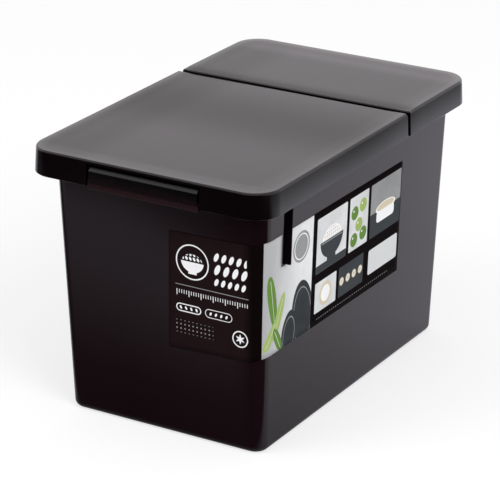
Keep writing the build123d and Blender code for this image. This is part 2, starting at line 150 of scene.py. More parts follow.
class SleeveLooks(PropertyGroup):
    """Printed sleeve round one corner."""

    ground_color: color_property("Ground", "Dark print of the sleeve", (0.0122, 0.0066, 0.0071))
    white: color_property("White", "Bright print and bare card", (0.90, 0.90, 0.89))
    pale: color_property(
        "Pale panel", "Pale grey ground of the panel at the corner", (0.68, 0.69, 0.68)
    )
    slate: color_property("Slate", "Blue-grey of the dark pictures", (0.052, 0.058, 0.062))
    leaf: color_property("Leaf green", "Deeper of the two greens", (0.13, 0.25, 0.050))
    sprout: color_property("Sprout green", "Lighter of the two greens", (0.34, 0.46, 0.14))
    grain: color_property("Grain", "Warm beige of the grain", (0.66, 0.58, 0.42))


class StudioLooks(PropertyGroup):
    """Camera and light."""

    azimuth: FloatProperty(
        name="Camera turn",
        description="Angle round from the latch side",
        default=radians(30.547),
        subtype="ANGLE",
        unit="ROTATION",
    )
    elevation: FloatProperty(
        name="Camera height",
        description="Angle above the horizon",
        default=radians(21.823),
        subtype="ANGLE",
        unit="ROTATION",
    )
    distance: FloatProperty(
        name="Camera distance",
        description="Distance from the middle of the bin",
        default=1.99118,
        min=0.5,
        subtype="DISTANCE",
        unit="LENGTH",
    )
    lens: FloatProperty(
        name="Lens",
        description="Focal length in millimetres",
        default=188.217,
        min=20.0,
    )
    sky: FloatProperty(
        name="Surround",
        description="Strength of the even light from all sides",
        default=0.62,
        min=0.0,
    )
    lamp: FloatProperty(
        name="Lamps",
        description="Share of the soft lamps' power",
        default=1.0,
        min=0.0,
    )


# Meshes


def rounded_outline(half_width, front, rear, corner, arc_steps=10):
    """Closed outline of a rounded rectangle: each corner is its centre plus the corner radius
    times the cosine and sine of an angle that runs over a quarter turn."""
    angle = np.linspace(0, pi / 2, arc_steps + 1)
    turns = np.concatenate([angle + start for start in (-pi / 2, 0, pi / 2, pi)])
    centre_x = np.repeat([1, 1, -1, -1], arc_steps + 1) * (half_width - corner)
    ahead, behind = front + corner, rear - corner
    centre_y = np.repeat([ahead, behind, behind, ahead], arc_steps + 1)
    return centre_x + corner * np.cos(turns), centre_y + corner * np.sin(turns)


def circle_outline(radius, centre_y, steps=96):
    """Closed circle: the centre plus the radius times cosine and sine."""
    turns = np.linspace(0, 2 * pi, steps, endpoint=False)
    return radius * np.cos(turns), centre_y + radius * np.sin(turns)


def write_mesh(name, points, faces):
    """Mesh object from points in millimetres and faces, smooth except across sharp edges."""
    mesh = bpy.data.meshes.new(name)
    mesh.from_pydata((np.asarray(points) * MM).tolist(), [], faces)
    mesh.validate()
    mesh.set_sharp_from_angle(angle=SHARP)
    piece = bpy.data.objects.new(name, mesh)
    bpy.context.scene.collection.objects.link(piece)
    return piece


def lofted(name, rows, ring=False):
    """Skin through a list of (x, y, z) outlines with equal numbers of points. Point (i, j) is
    outline i at step j. The ends close with flat caps, or meet each other when ring is set."""
    x = np.array([row[0] for row in rows])
    y = np.array([row[1] for row in rows])
    z = np.array([np.broadcast_to(row[2], x.shape[1]) for row in rows])
    count, steps = x.shape
    points = np.stack([x, y, z], axis=-1).reshape(-1, 3)
    lower = np.arange(count if ring else count - 1)[:, None] * steps
    upper = (lower + steps) % (count * steps)
    here = np.arange(steps)[None, :]
    there = (here + 1) % steps
    quads = np.stack([lower + here, lower + there, upper + there, upper + here], axis=-1)
    faces = quads.reshape(-1, 4).tolist()
    if not ring:
        faces.append(np.arange(steps)[::-1].tolist())
        faces.append((np.arange(steps) + (count - 1) * steps).tolist())
    return write_mesh(name, points, faces)


def rounding(corner, start, turn, radius, steps=5):
    """Quarter arc in a profile: the corner's round centre plus the radius times cosine and
    sine, from one angle through a turn, as (offset, height) pairs."""
    angles = np.radians(np.linspace(start, start + turn, steps + 1))
    return [(corner[0] + radius * cos(a), corner[1] + radius * sin(a)) for a in angles]


def bin_plan(height, grow=0.0):
    """Outer plan of the drafted bin at a height, grown outwards: half width, front, rear and
    corner. The walls draw in below the rim by its depth times the slope."""
    below = RIM_TOP - height
    drawn_in = below * END_SLOPE - grow
    return (
        LID_HALF_WIDTH - 10.8 - below * SIDE_SLOPE + grow,
        17.54 + drawn_in - LID_HALF_LENGTH,
        LID_HALF_LENGTH - 10.14 - drawn_in,
        BIN_CORNER + grow,
    )


def rim_plan(grow=0.0):
    """Plan of the flange's outer edge, grown outwards."""
    inset = 3.2 - grow
    half_length = LID_HALF_LENGTH - inset
    return LID_HALF_WIDTH - inset, -half_length, half_length, LID_CORNER - inset


def plan_row(plan, height, corner=None):
    """Outline of a plan at a height."""
    half_width, front, rear, own_corner = plan
    x, y = rounded_outline(half_width, front, rear, own_corner if corner is None else corner)
    return x, y, height


def merged_copy(node):
    """Copy of a CAD node with its loose triangles joined."""
    source = cad_nodes[node]
    copy = bpy.data.objects.new(node + "_piece", source.data.copy())
    bpy.context.scene.collection.objects.link(copy)
    copy.data.materials.clear()
    if copy.data.has_custom_normals:
        with bpy.context.temp_override(object=copy, active_object=copy):
            bpy.ops.mesh.customdata_custom_splitnormals_clear()
    shape = bmesh.new()
    shape.from_mesh(copy.data)
    bmesh.ops.remove_doubles(shape, verts=shape.verts, dist=1e-6)
    shape.to_mesh(copy.data)
    shape.free()
    return copy


def stand_in(piece, node, body):
    """Puts a finished piece in place of a CAD node."""
    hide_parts(node)
    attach(piece, body)


# Shader maths


class Wire:
    """A socket with arithmetic: each operator adds the Math node that it names."""

    def __init__(self, nodes, links, socket):
        self.nodes = nodes
        self.links = links
        self.socket = socket

    def math(self, operation, *others, clamp=False):
        node = self.nodes.new("ShaderNodeMath")
        node.operation = operation
        node.use_clamp = clamp
        for slot, value in zip(node.inputs, (self, *others)):
            if isinstance(value, Wire):
                self.links.new(value.socket, slot)
            else:
                slot.default_value = value
        return Wire(self.nodes, self.links, node.outputs[0])

    def __add__(self, other):
        return self.math("ADD", other)

    __radd__ = __add__

    def __sub__(self, other):
        return self.math("SUBTRACT", other)

    def __rsub__(self, other):
        return self.math("MULTIPLY", -1).math("ADD", other)

    def __mul__(self, other):
        return self.math("MULTIPLY", other)

    __rmul__ = __mul__

    def __truediv__(self, other):
        return self.math("DIVIDE", other)

    def __abs__(self):
        return self.math("ABSOLUTE")

    def least(self, other):
        return self.math("MINIMUM", other)

    def most(self, other):
        return self.math("MAXIMUM", other)

    def rise(self, start, end):
        """0 up to the start, 1 from the end on and straight between them."""
        scale = 1 / (end - start)
        return (self * scale).math("ADD", -start * scale, clamp=True)

    def wrapped(self, pitch):
        """Distance from the middle of the repeat that the value falls in."""
        return self.math("FLOORED_MODULO", pitch) - pitch / 2

    def inside(self, softness=0.12):
        """1 where a distance is negative, 0 where it is positive, soft over a narrow edge."""
        return (self * (-0.5 / softness)).math("ADD", 0.5, clamp=True)


class Tree:
    """A node tree and the ways its nodes are added."""

    def __init__(self, tree):
        self.nodes = tree.nodes
        self.links = tree.links

    def node(self, kind, settings=None, output=0, **values):
        """New node of a kind: its settings first, then values or links of its sockets, by
        name, or by number after an underscore."""
        node = self.nodes.new(kind)
        for key, value in (settings or {}).items():
            if key == "stops":
                stops = node.color_ramp.elements
                for place, _ in value[1:-1]:
                    stops.new(place)
                for stop, (place, level) in zip(stops, value):
                    stop.position = place
                    stop.color = (level, level, level, 1.0)
            else:
                setattr(node, key, value)
        for key, value in values.items():
            place = int(key[1:]) if key[1:].isdigit() else key.replace("_", " ")
            socket = node.inputs[place]
            if isinstance(value, Wire):
                self.links.new(value.socket, socket)
            else:
                socket.default_value = value
        return Wire(self.nodes, self.links, node.outputs[output])

    def split(self, vector):
        node = self.nodes.new("ShaderNodeSeparateXYZ")
        self.links.new(vector.socket, node.inputs[0])
        return [Wire(self.nodes, self.links, socket) for socket in node.outputs]

    def mix(self, mask, under, over):
        """Colour that goes from under to over as the mask goes from 0 to 1."""
        node = self.nodes.new("ShaderNodeMix")
        node.data_type = "RGBA"
        self.links.new(mask.socket, node.inputs["Factor"])
        for slot, value in ((node.inputs[6], under), (node.inputs[7], over)):
            if isinstance(value, Wire):
                self.links.new(value.socket, slot)
            else:
                slot.default_value = (*value, 1.0)
        return Wire(self.nodes, self.links, node.outputs[2])

    def lay(self, color, *layers):
        """Prints layers in turn. Each is a colour and the distances that it lies inside."""
        for over, *distances in layers:
            worst = distances[0]
            for distance in distances[1:]:
                worst = worst.most(distance)
            color = self.mix(worst.inside(), color, over)
        return color

    def ramp(self, place, stops):
        """Level that runs straight between stops of place and level, from place 0 to place 1."""
        return self.node("ShaderNodeValToRGB", {"stops": stops}, Fac=place)


class Finish(Tree):
    """A material: its shader, what feeds it and patterns on object coordinates."""

    def __init__(self, name, **uniform):
        self.material = bpy.data.materials.new(name)
        self.material.use_nodes = True
        super().__init__(self.material.node_tree)
        self.shader = self.nodes["Principled BSDF"]
        for socket, value in uniform.items():
            self.shader.inputs[socket.replace("_", " ")].default_value = value

    def feed(self, socket, wire):
        self.links.new(wire.socket, self.shader.inputs[socket])

    def position(self):
        """Object coordinates in metres."""
        return self.node("ShaderNodeTexCoord", output="Object")

    def noise(self, scale, detail=2.0):
        """Smooth noise from 0 to 1 over object coordinates."""
        values = {"Vector": self.position(), "Scale": scale, "Detail": detail}
        return self.node("ShaderNodeTexNoise", output="Fac", **values)

    def bump(self, height, distance, edge=None):
        """Normal bent by a height, over edges rounded by the light when a radius is given."""
        values = {"Height": height, "Distance": distance, "Strength": 1.0}
        if edge:
            values["Normal"] = self.node("ShaderNodeBevel", {"samples": 6}, Radius=edge)
        self.feed("Normal", self.node("ShaderNodeBump", **values))


def flat_box(p, q, centre, size, corner=0.0):
    """Distance to a printed box, rounded when a corner radius is given."""
    across = abs(p - centre[0]) - (size[0] / 2 - corner)
    up = abs(q - centre[1]) - (size[1] / 2 - corner)
    if not corner:
        return across.most(up)
    over_p, over_q = across.most(0), up.most(0)
    return (over_p * over_p + over_q * over_q).math("SQRT") - corner


def flat_oval(p, q, centre, size, turn=0.0):
    """Distance to a printed oval turned by degrees, near enough for print."""
    dp, dq = p - centre[0], q - centre[1]
    c, s = cos(radians(turn)), sin(radians(turn))
    a = (dp * c + dq * s) / size[0]
    b = (dq * c - dp * s) / size[1]
    return ((a * a + b * b).math("SQRT") - 1) * min(size)


def outlined(distance, width):
    """Distance to a line drawn along a shape's edge."""
    return abs(distance) - width / 2


def scaled(color, share):
    """Colour times a number."""
    return tuple(part * share for part in color)


def moulded(name, color, roughness, edge, sag=None, ior=1.5):
    """Moulded plastic: slow flow ripple and fine grain in the surface, in steps of a hundredth
    of a millimetre, with gloss and colour that drift a little over the part. Sag is a wide
    soft waviness, as a height in millimetres."""
    finish = Finish(name, IOR=ior)
    drift = finish.noise(9.0, detail=1.0)
    fine = finish.noise(900.0)
    finish.feed("Roughness", drift * 0.06 + fine * 0.05 + (roughness - 0.055))
    finish.feed("Base Color", finish.mix(drift, scaled(color, 0.8), scaled(color, 1.25)))
    step = 0.01 * MM
    ripple, grain = 0.4, 0.06
    height = finish.noise(22.0, detail=1.0) * ripple + fine * grain
    if sag:
        height = height + sag(*finish.split(finish.position())) * (MM / step)
    finish.bump(height, step, edge=edge)
    return finish


# Pieces


class RICEBIN_OT_bin(Operator):
    """Bin with drafted walls, foot, flange and fins"""

    bl_idname = "ricebin.bin"
    bl_label = "Bin"

    def execute(self, context):
        looks = context.scene.rice_shell
        plastic = moulded("bin_gloss", looks.bin_color, 0.16, looks.edge_softness)
        edge, under_rim, flange, lip, soft = 4.9, 197.3, 197.8, 194.0, 0.6
        rows = []
        for inset, height, corner in (
            (10.9, 0.8, 5.0),
            (10.9, 0.3, 5.0),
            (10.6, 0.05, 5.2),
            (10.2, 0.0, 5.4),
        ):
            rows.append(plan_row(bin_plan(0, -inset), height, corner))
        for offset, height in rounding((0.0, edge), -90, 90, edge, 8):
            rows.append(plan_row(bin_plan(height, offset - edge), height))
        rows.append(plan_row(bin_plan(under_rim), under_rim))
        rows.append(plan_row(bin_plan(flange, 0.5), flange))
        rows.append(plan_row(rim_plan(-2.0), flange))
        for centre, start, radius in (
            ((-1.5, lip), 180, 0.5),
            ((-0.5, lip), 270, 0.5),
            ((-soft, RIM_TOP - soft), 0, soft),
        ):
            for offset, height in rounding(centre, start, 90, radius, 4):
                rows.append(plan_row(rim_plan(offset), height))
        inner = rounding((soft - BIN_WALL, RIM_TOP - soft), 90, 90, soft, 4)
        inner += rounding((-2.7 - BIN_WALL, 5.7), 0, -90, 2.7, 6)
        for offset, height in inner:
            rows.append(plan_row(bin_plan(height, offset), height))
        piece = lofted("bin_shell", rows)
        piece.data.materials.append(plastic.material)
        stand_in(piece, "bin_body", "bin")
        self.add_fins(looks)
        return {"FINISHED"}

    def add_fins(self, looks):
        """Both fins are plates between a foot and the flange, parallel to the leaning wall.
        The wall beside them shows no mirror image of them."""
        high, sunk, reach = 198.8, 1.1, 6.5
        front = bin_plan(FIN_LOW)[1] + FIN_BEHIND
        foot_x, top_x = bin_plan(FIN_LOW)[0], bin_plan(high)[0]
        side = np.array(
            [
                [foot_x - sunk, FIN_LOW],
                [foot_x + reach, FIN_LOW + 0.5],
                [top_x + reach, high],
                [top_x - sunk, high],
            ]
        )
        points, faces = [], []
        for sign in (1, -1):
            outline = side * [sign, 1]
            for y in (front, front + FIN_THICK):
                points += [(x, y, z) for x, z in outline]
            first = len(points) - 8
            quads = [[0, 1, 2, 3], [7, 6, 5, 4]]
            quads += [[i, i + 4, (i + 1) % 4 + 4, (i + 1) % 4] for i in range(4)]
            faces += [[first + i for i in quad[::sign]] for quad in quads]
        fins = write_mesh("bin_fins", points, faces)
        bevel = fins.modifiers.new("rounded edges", "BEVEL")
        bevel.width = 0.4 * MM
        bevel.segments = 2
        shade = scaled(looks.bin_color, 0.3)
        dark = moulded("fin_dark", shade, 0.3, looks.edge_softness, ior=1.1)
        fins.data.materials.append(dark.material)
        fins.visible_glossy = False
        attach(fins, "bin")


class RICEBIN_OT_lids(Operator):
    """Hinged front lid and rear cover, each with a soft shallow tray in its top"""

    bl_idname = "ricebin.lids"
    bl_label = "Lid and Cover"

    COVER_FRONT = 0.054
    TRAY_LOW = (LID_TOP - 0.75) * MM

    def execute(self, context):
        looks = context.scene.rice_shell
        soft = looks.edge_softness
        finish = moulded("lid_satin", looks.lid_color, 0.24, soft, sag=self.sag, ior=1.2)
        x, y, z = finish.split(finish.position())
        # Painted sheen: the skirt gets more coat towards its foot and at the sides than in front.
        low = z.rise(0.20909, 0.19091).math("POWER", 1.2)
        flank = abs(x).rise(0.092, 0.09867) * y.rise(-0.15333, -0.13667)
        skirt_painted_sheen = low * (flank * 0.78 + 0.06) + 0.12
        # Painted sheen: more coat on the top's border, at the seam's rear edge and at the rear.
        border = finish.node("ShaderNodeAttribute", {"attribute_name": "border"}, output="Fac")
        seam = y.math("GREATER_THAN", self.COVER_FRONT) * (y.rise(0.059, 0.057) * 0.3 + 0.1)
        top_painted_sheen = seam + border * 0.32 + 0.42 + y.rise(0.125, 0.15) * 0.4
        top = z.rise(0.2082, 0.2090)
        finish.feed("Coat Weight", skirt_painted_sheen * (1 - top) + top * top_painted_sheen)
        finish.shader.inputs["Coat Roughness"].default_value = 0.22
        for node, body, front, rear in (
            ("front_lid", "lid", -LID_HALF_LENGTH, HINGE_Y),
            ("rear_cover", "cover", SEAM_REAR, LID_HALF_LENGTH),
        ):
            piece = merged_copy(node)
            self.soften_tray(piece, looks, front, rear)
            piece.data.set_sharp_from_angle(angle=radians(25))
            piece.data.materials.append(finish.material)
            stand_in(piece, node, body)
        return {"FINISHED"}

    def sag(self, x, y, z):
        """Waviness of the top in millimetres. Across, the left side rises by half a cosine.
        Along the front lid a sine wave runs on into a straight slope in front. Behind the seam
        the top falls by the cube of the nearness to it."""
        across = ((x.most(-0.095).least(-0.045) + 0.045) * (pi / 0.05)).math("COSINE") * -1.2
        ahead = (-0.015 - y).most(0)
        along = ((y + 0.015).most(0) * (2 * pi / 0.15)).math("SINE") * 1.19
        along = along - (ahead.least(0.07) * (pi / 0.07)).math("SINE") * 1.11
        along = along + (ahead - 0.07).most(0) * 50
        fall = y.rise(0.078, 0.056).math("POWER", 3.0) * -0.9
        behind = y.math("GREATER_THAN", self.COVER_FRONT)
        return across + along * (1 - behind) + fall * behind

    def cut_top(self, piece, front, rear):
        """Cuts the top into a grid that is finer along its edges. Returns which points of the
        mesh belong to the top."""
        shape = bmesh.new()
        shape.from_mesh(piece.data)

        def top_faces():
            return [
                f
                for f in shape.faces
                if f.normal.z > 0.9 and min(v.co.z for v in f.verts) > self.TRAY_LOW
            ]

        near = np.arange(2.5, 22, 2.5)
        for normal, low, high in (
            ((1, 0, 0), -LID_HALF_WIDTH, LID_HALF_WIDTH),
            ((0, 1, 0), front, rear),
        ):
            middle = np.linspace(low + 22.5, high - 22.5, 8)
            for place in np.concatenate([low + near, middle, high - near]):
                faces = top_faces()
                edges = {e for f in faces for e in f.edges}
                verts = {v for f in faces for v in f.verts}
                bmesh.ops.bisect_plane(
                    shape,
                    geom=[*verts, *edges, *faces],
                    dist=1e-7,
                    plane_co=Vector(normal) * place * MM,
                    plane_no=normal,
                )
        tops = {v for f in top_faces() for v in f.verts}
        shape.to_mesh(piece.data)
        shape.verts.ensure_lookup_table()
        chosen = np.zeros(len(shape.verts), bool)
        chosen[[v.index for v in tops]] = True
        shape.free()
        return chosen

    def soften_tray(self, piece, looks, front, rear):
        """Sinks the top by the tray's depth times 3d^2 - 2d^3, with d from 0 at the tray's
        border to 1 inside. The tray runs on across the seam, and behind the seam the top falls
        by the square of the nearness to it."""
        chosen = self.cut_top(piece, front, rear)
        mesh = piece.data
        co = np.zeros(len(mesh.vertices) * 3)
        mesh.vertices.foreach_get("co", co)
        co = co.reshape(-1, 3)
        x, y, z = (co / MM).T
        part = self.step_inside(x, y, looks.tray_border, looks.tray_slope)
        fall = np.where(y > SEAM_REAR - 1, np.clip((SEAM_REAR + 14 - y) / 14, 0, 1), 0)
        sunk = LID_TOP - looks.tray_depth * part - looks.seam_fall * fall * fall
        flat = chosen & (co[:, 2] > self.TRAY_LOW)
        edge = ~chosen & (z > LID_TOP - 1.6)
        co[flat, 2] = sunk[flat] * MM
        co[edge, 2] = np.minimum(z, sunk)[edge] * MM
        mesh.vertices.foreach_set("co", co.ravel())
        border = mesh.attributes.new("border", "FLOAT", "POINT")
        share = 1 - self.step_inside(x, y, 1.0, 8.0)
        border.data.foreach_set("value", share.astype(np.float32))
        mesh.update()

    def step_inside(self, x, y, inset, width):
        """Smooth step 3d^2 - 2d^3 over a width inside the lid's outline less an inset. The
        distance inside is the corner radius less the length of what reaches past the corner
        centres, or the depth behind the nearest straight side."""
        corner = LID_CORNER - inset
        over_x = np.abs(x) - (LID_HALF_WIDTH - inset - corner)
        over_y = np.abs(y) - (LID_HALF_LENGTH - inset - corner)
        outside = np.hypot(np.maximum(over_x, 0), np.maximum(over_y, 0))
        inside = corner - outside - np.minimum(np.maximum(over_x, over_y), 0)
        d = np.clip(inside / width, 0, 1)
        return d * d * (3 - 2 * d)


class RICEBIN_OT_latch(Operator):
    """Latch in the front notch: painted shade at its top, painted light paler towards its lip"""

    bl_idname = "ricebin.latch"
    bl_label = "Latch"

    def execute(self, context):
        looks = context.scene.rice_shell
        finish = moulded("latch_satin", looks.latch_color, 0.26, looks.edge_softness)
        _, _, z = finish.split(finish.position())
        # Painted shade darkens the top under the notch; painted light pales the face and the lip.
        painted_shade_head, foot, lip = (scaled(looks.latch_color, share) for share in (0.0, 1.5, 2.8))
        face_painted_grade = finish.mix(z.rise(0.20083, 0.1925), painted_shade_head, foot)
        finish.feed("Base Color", finish.mix(z.rise(0.1936, 0.1926), face_painted_grade, lip))
        piece = merged_copy("front_latch")
        piece.data.set_sharp_from_angle(angle=radians(25))
        piece.data.materials.append(finish.material)
        stand_in(piece, "front_latch", "latch")
        return {"FINISHED"}


class RICEBIN_OT_seals(Operator):
    """Soft seals under the lid and the cover"""

    bl_idname = "ricebin.seals"
    bl_label = "Seals"

    def execute(self, context):
        looks = context.scene.rice_inner
        finish = Finish("seal_rubber", IOR=1.45)
        dust = finish.noise(700.0, detail=3.0)
        finish.feed("Roughness", dust * 0.2 + 0.5)
        shade = scaled(looks.seal_color, 0.85)
        finish.feed("Base Color", finish.mix(finish.noise(60.0), shade, looks.seal_color))
        finish.bump(dust, 0.00002)
        half_width, front, rear, corner = bin_plan(RIM_TOP, 4.0 - BIN_WALL)
        for node, body, seal_rear in (("lid_gasket", "lid", 35.5), ("rear_gasket", "cover", rear)):
            rows = []
            for offset, height in self.section():
                plan = (half_width + offset, front - offset, seal_rear + offset, corner + offset)
                rows.append(plan_row(plan, height))
            piece = lofted(node + "_piece", rows, ring=True)
            if node == "rear_gasket":
                self.cut_open(piece, SEAM_REAR + 2.35)
            piece.data.materials.append(finish.material)
            stand_in(piece, node, body)
        return {"FINISHED"}

    def section(self):
        """Closed section as (offset, height): a block with soft shoulders and a round lip."""
        top, shoulder, tip = LID_TOP - 2.4, RIM_TOP + 3.0, RIM_TOP + 0.3
        right = [(2.5, top), (2.5, shoulder + 0.6), (2.32, shoulder + 0.18), (1.9, shoulder)]
        right += [(1.5, shoulder - 0.1), (1.3, shoulder - 0.5)]
        right += rounding((0.0, tip + 1.3), 0, -90, 1.3, 5)
        left = [(-offset, height) for offset, height in right[-2::-1]]
        return right + left

    def cut_open(self, piece, seam):
        """Keeps what lies behind a cross plane and closes the two cut ends."""
        shape = bmesh.new()
        shape.from_mesh(piece.data)
        cut = bmesh.ops.bisect_plane(
            shape,
            geom=[*shape.verts, *shape.edges, *shape.faces],
            dist=1e-7,
            plane_co=(0, seam * MM, 0),
            plane_no=(0, 1, 0),
            clear_inner=True,
        )
        edges = [e for e in cut["geom_cut"] if isinstance(e, bmesh.types.BMEdge)]
        bmesh.ops.contextual_create(shape, geom=[e for e in edges if e.verts[0].co.x > 0])
        bmesh.ops.contextual_create(shape, geom=[e for e in edges if e.verts[0].co.x < 0])
        shape.to_mesh(piece.data)
        shape.free()
        piece.data.set_sharp_from_angle(angle=SHARP)


class RICEBIN_OT_cup(Operator):
    """Measuring cup with a rolled rim and ring marks"""

    bl_idname = "ricebin.cup"
    bl_label = "Measuring Cup"

    def execute(self, context):
        looks = context.scene.rice_inner
        finish = Finish("cup_milky", IOR=1.49)
        finish.feed("Roughness", finish.noise(300.0) * 0.12 + 0.2)
        shade = scaled(looks.cup_color, 0.93)
        finish.feed("Base Color", finish.mix(finish.noise(25.0), shade, looks.cup_color))
        finish.bump(finish.noise(500.0), 0.000004)
        centre_y, floor, wall = -60.0, 3.3, looks.cup_wall
        outer, half_up, top = 32.5, 33.0, 64.0
        profile = [(0.6, 0.8), (29.3, 0.8)]
        profile += [(29.5, 0.5), (29.7, 0.1), (30.0, 0.0)]
        profile += rounding((outer - 0.8, 0.8), -90, 90, 0.8, 5)
        profile.append((outer, top - 2.7))
        profile += rounding((outer + 0.3, top - 2.7), 180, -90, 0.3, 3)
        profile += rounding((outer + 0.8, top - 1.6), -90, 90, 0.8, 5)
        profile += rounding((outer + 0.4, top - 1.2), 0, 90, 1.2, 6)
        profile += rounding((outer - wall + 1.0, top - 1.0), 90, 90, 1.0, 5)
        for mark in (49.0, 17.5):
            inner = outer - wall - (0.0 if mark > half_up else 0.6)
            if mark < half_up:
                profile += [(outer - wall, half_up + 0.5), (outer - wall - 0.1, half_up + 0.1)]
                profile += [(outer - wall - 0.5, half_up), (inner, half_up - 0.2)]
            ring = [(inner, mark + 0.6), (inner - 0.25, mark + 0.3), (inner - 0.25, mark - 0.3)]
            profile += ring + [(inner, mark - 0.6)]
        profile += rounding((outer - wall - 0.6 - 2.0, 4.0), 0, -90, 2.0, 5)
        profile.append((0.6, 2.0))
        rows = [(*circle_outline(radius, centre_y), height + floor) for radius, height in profile]
        piece = lofted("cup_piece", rows)
        piece.data.materials.append(finish.material)
        stand_in(piece, "measuring_cup", "cup")
        return {"FINISHED"}


class RICEBIN_OT_sleeve(Operator):
    """Printed card sleeve round the front right corner"""

    bl_idname = "ricebin.sleeve"
    bl_label = "Printed Sleeve"

    NOTCH_LOW = 141.5
    REAR = 68.0
    PRINT_LEAD = 100.0
    PRINT_WIDTH = 300.0
    PRINT_HEIGHT = 100.0
    PRINT_FOOT = 70.0
    MIDDLE = 120.0

    def execute(self, context):
        looks = context.scene.rice_sleeve
        piece = self.skin()
        card = piece.modifiers.new("card", "SOLIDIFY")
        card.thickness = 0.4 * MM
        card.offset = -1.0
        piece.data.materials.append(self.printed(looks).material)
        stand_in(piece, "label", "bin")
        return {"FINISHED"}

    def skin(self):
        """Card on the leaning wall. A point is a column along the front, round the corner and
        along the side, and a height between the sleeve's slanted lower and upper edges."""
        skin_grow = 0.5
        middle = bin_plan(self.MIDDLE, skin_grow)
        corner = middle[3]
        middle_x, middle_y = middle[0] - corner, middle[1] + corner
        notch = bin_plan(FIN_LOW)[1] + FIN_BEHIND + FIN_THICK / 2
        notch_front, notch_rear = notch - 3, notch + 3
        front = np.linspace(0, 1, 25)
        arc = np.linspace(0, 1, 13)[1:]
        side_y = np.concatenate([[notch_front], np.linspace(notch_rear, self.REAR, 49)])
        lead = np.linspace(0, 1, 5)[1:-1]
        kind = np.repeat([0, 1, 2, 3], [len(front), len(arc), len(lead), len(side_y)])
        place = np.concatenate([front, arc, lead, side_y])
        rise = np.concatenate([np.linspace(0, 1, 15), np.linspace(1, 2, 7)[1:]])

        def heights(across, along):
            """Lower and upper edge, straight along the front, the corner and the side."""
            top = np.where(across < middle_x, np.interp(across, [9.9, middle_x], [162.6, 164.0]), 0)
            low = np.where(across < middle_x, np.interp(across, [7.3, middle_x], [70.8, 73.1]), 0)
            round_x = [middle_x, middle_x + corner]
            bend = (across >= middle_x) & (along < middle_y)
            top = np.where(bend, np.interp(across, round_x, [164.0, 166.6]), top)
            low = np.where(bend, np.interp(across, round_x, [73.1, 77.1]), low)
            flank = along >= middle_y
            top = np.where(flank, np.interp(along, [middle_y, self.REAR], [166.6, 164.9]), top)
            low = np.where(flank, np.interp(along, [middle_y, self.REAR], [77.1, 75.3]), low)
            return low, top

        angle = -pi / 2 + place * pi / 2
        at_x = np.select(
            [kind == 0, kind == 1],
            [8.5 + place * (middle_x - 8.5), middle_x + corner * np.cos(angle)],
            middle_x + corner,
        )
        at_y = np.select(
            [kind == 0, kind == 1, kind == 2],
            [-999.0, middle_y + corner * np.sin(angle) - 0.01, middle_y],
            place,
        )
        low, top = (edge[None, :] for edge in heights(at_x, at_y))
        share = rise[:, None]
        below = low + share * (self.NOTCH_LOW - low)
        above = self.NOTCH_LOW + (share - 1) * (top - self.NOTCH_LOW)
        z = np.where(share <= 1, below, above)
        half_width, front_y, _, _ = bin_plan(z, skin_grow)
        turn_x, turn_y = half_width - corner, front_y + corner
        left = 7.3 + 2.6 * (z - 70.8) / 91.8
        x = np.select(
            [kind == 0, kind == 1],
            [left + place * (turn_x - left), turn_x + corner * np.cos(angle)],
            half_width,
        )
        y = np.select(
            [kind == 0, kind == 1, kind == 2],
            [
                front_y + 0 * place,
                turn_y + corner * np.sin(angle),
                turn_y + place * (notch_front - turn_y),
            ],
            place + 0 * z,
        )
        arc_length = corner * pi / 2
        u = np.select(
            [kind == 0, kind == 1],
            [
                x - middle_x,
                (1 - place) * (turn_x - middle_x) + place * (arc_length + turn_y - middle_y),
            ],
            arc_length + y - middle_y,
        )
        self.front_zero = middle_x
        self.side_zero = middle_y - arc_length
        count, steps = x.shape
        index = np.arange(count * steps).reshape(count, steps)
        quads = np.stack(
            [index[:-1, :-1], index[:-1, 1:], index[1:, 1:], index[1:, :-1]], axis=-1
        )
        notch_column = len(front) + len(arc) + len(lead)
        keep = np.ones(quads.shape[:2], bool)
        keep[rise[:-1] >= 1, notch_column] = False
        points = np.stack([x, y, z], axis=-1).reshape(-1, 3)
        piece = write_mesh("sleeve_card", points, quads[keep].tolist())
        mesh = piece.data
        corners = np.zeros(len(mesh.loops), int)
        mesh.loops.foreach_get("vertex_index", corners)
        across = (u.ravel() + self.PRINT_LEAD) / self.PRINT_WIDTH
        up = (z.ravel() - self.PRINT_FOOT) / self.PRINT_HEIGHT
        flat = np.stack([across, up], axis=-1)
        layer = mesh.uv_layers.new(name="print")
        layer.data.foreach_set("uv", flat[corners].ravel())
        shape = bmesh.new()
        shape.from_mesh(mesh)
        loose = [v for v in shape.verts if not v.link_faces]
        bmesh.ops.delete(shape, geom=loose, context="VERTS")
        shape.to_mesh(mesh)
        shape.free()
        return piece

    def printed(self, looks):
        """Coated card with its print, laid out in millimetres along the front and the side."""
        ink = Finish("sleeve_print", IOR=1.045)
        u, v, _ = ink.split(ink.node("ShaderNodeUVMap", {"uv_map": "print"}))
        run = u * self.PRINT_WIDTH - self.PRINT_LEAD
        z = v * self.PRINT_HEIGHT + self.PRINT_FOOT
        x, y = run + self.front_zero, run + self.side_zero
        mottle = ink.noise(60.0)
        color = self.print_front(ink, looks, x, z, mottle)
        color = self.print_corner(ink, looks, color, y, z, mottle)
        color = self.print_side(ink, looks, color, y, z, mottle)
        ink.feed("Base Color", color)
        ink.feed("Roughness", mottle * 0.08 + 0.34)
        ink.bump(ink.noise(420.0), 0.000004)
        return ink

